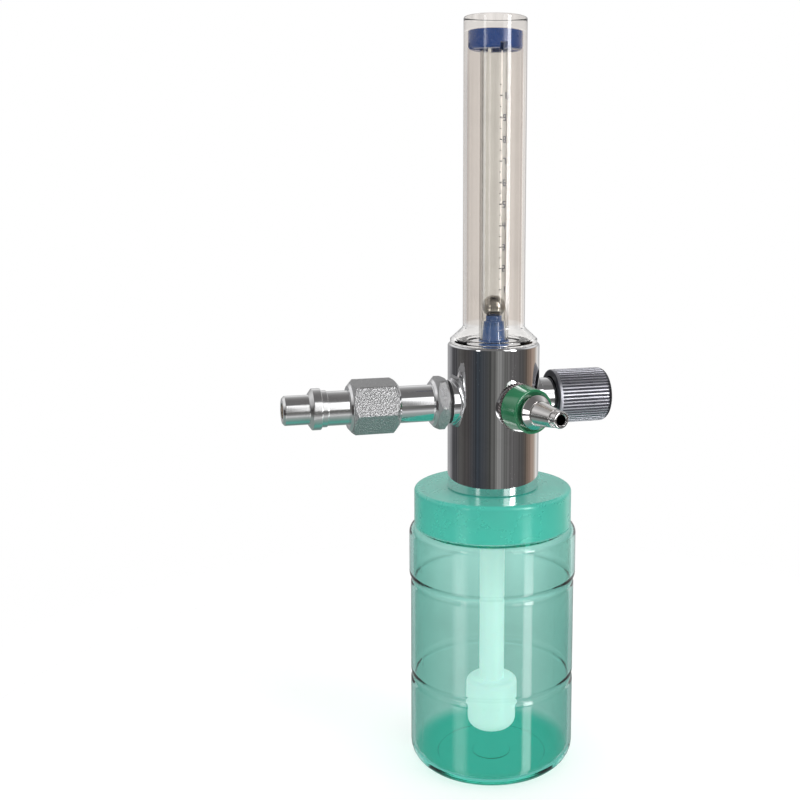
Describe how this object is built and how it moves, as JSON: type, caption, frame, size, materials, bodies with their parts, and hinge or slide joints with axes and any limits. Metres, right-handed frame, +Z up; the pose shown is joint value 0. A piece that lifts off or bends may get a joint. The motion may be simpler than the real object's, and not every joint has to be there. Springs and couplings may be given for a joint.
{
  "type": "oxygen flowmeter",
  "caption": "Wall-outlet oxygen flowmeter: chromed body with probe inlet, needle valve knob, barbed outlet, clear ball float tube and a screw-on green humidifier bottle with a bubbler.",
  "frame": {"origin": "middle of the bottle's base, on the surface that it stands on", "axes": "+Z up along the bottle, body and float tube; -X out along the inlet probe; +X out along the valve knob; the outlet points to -Y, turned 13.4 degrees towards +X"},
  "size_m": [0.1371, 0.0836, 0.3095],
  "materials": {
    "chrome": "polished chrome plate on brass",
    "steel_ball": "polished steel ball",
    "steel": "turned stainless steel",
    "knob_metal": "satin aluminium with straight flutes",
    "bronze": "sintered bronze filter",
    "clear_plastic": "clear polycarbonate",
    "bottle_plastic": "blown translucent green plastic",
    "lid_plastic": "moulded translucent green plastic",
    "green_plastic": "moulded emerald green plastic",
    "blue_plastic": "moulded dark blue plastic",
    "white_plastic": "milky white plastic",
    "black_rubber": "black seal rubber"
  },
  "bodies": {
    "flowmeter": {"flow_body": "chrome", "shield_tube": "clear_plastic", "foot_gasket": "black_rubber", "flow_tube": "clear_plastic", "ball_seat": "blue_plastic", "top_plug": "blue_plastic", "inlet_gasket": "black_rubber", "inlet_nipple": "chrome", "union_nut": "chrome", "union_washer": "black_rubber", "probe": "chrome", "inlet_filter": "bronze", "outlet_washer": "chrome", "outlet_collar": "green_plastic", "outlet_nozzle": "chrome", "valve_bonnet": "chrome", "bottle_lid": "lid_plastic", "lid_gasket": "black_rubber", "lid_nut": "lid_plastic", "dip_tube": "white_plastic", "bubbler_cap": "white_plastic", "bubbler_cup": "white_plastic"},
    "float": {"float_ball": "steel_ball"},
    "stem": {"valve_spindle": "steel", "spindle_o_ring": "black_rubber"},
    "hand_wheel": {"knob": "knob_metal", "knob_screw": "steel"},
    "seal_ring": {"jar_gasket": "black_rubber"},
    "bottle": {"jar": "bottle_plastic"}
  },
  "joints": [
    {"name": "float_rise", "type": "slide", "parent": "flowmeter", "child": "float", "axis": [0, 0, 1], "range_m": [0, 0.1031]},
    {"name": "spindle_travel", "type": "slide", "parent": "flowmeter", "child": "stem", "axis": [1, 0, 0], "range_m": [0, 0.00201]},
    {"name": "knob_turn", "type": "hinge", "parent": "stem", "child": "hand_wheel", "pos_m": [0.04, 0, 0.1547], "axis": [1, 0, 0], "range_deg": [0, 720]},
    {"name": "jar_drop", "type": "slide", "parent": "flowmeter", "child": "seal_ring", "axis": [0, 0, -1], "range_m": [0, 0.00601]},
    {"name": "jar_turn", "type": "hinge", "parent": "seal_ring", "child": "bottle", "pos_m": [0, 0, 0.06], "axis": [0, 0, -1], "range_deg": [0, 720]}
  ],
  "couplings": [
    {"joint": "spindle_travel", "follows": "knob_turn", "m_per_rad": 0.00015915},
    {"joint": "jar_drop", "follows": "jar_turn", "m_per_rad": 0.00047746}
  ]
}
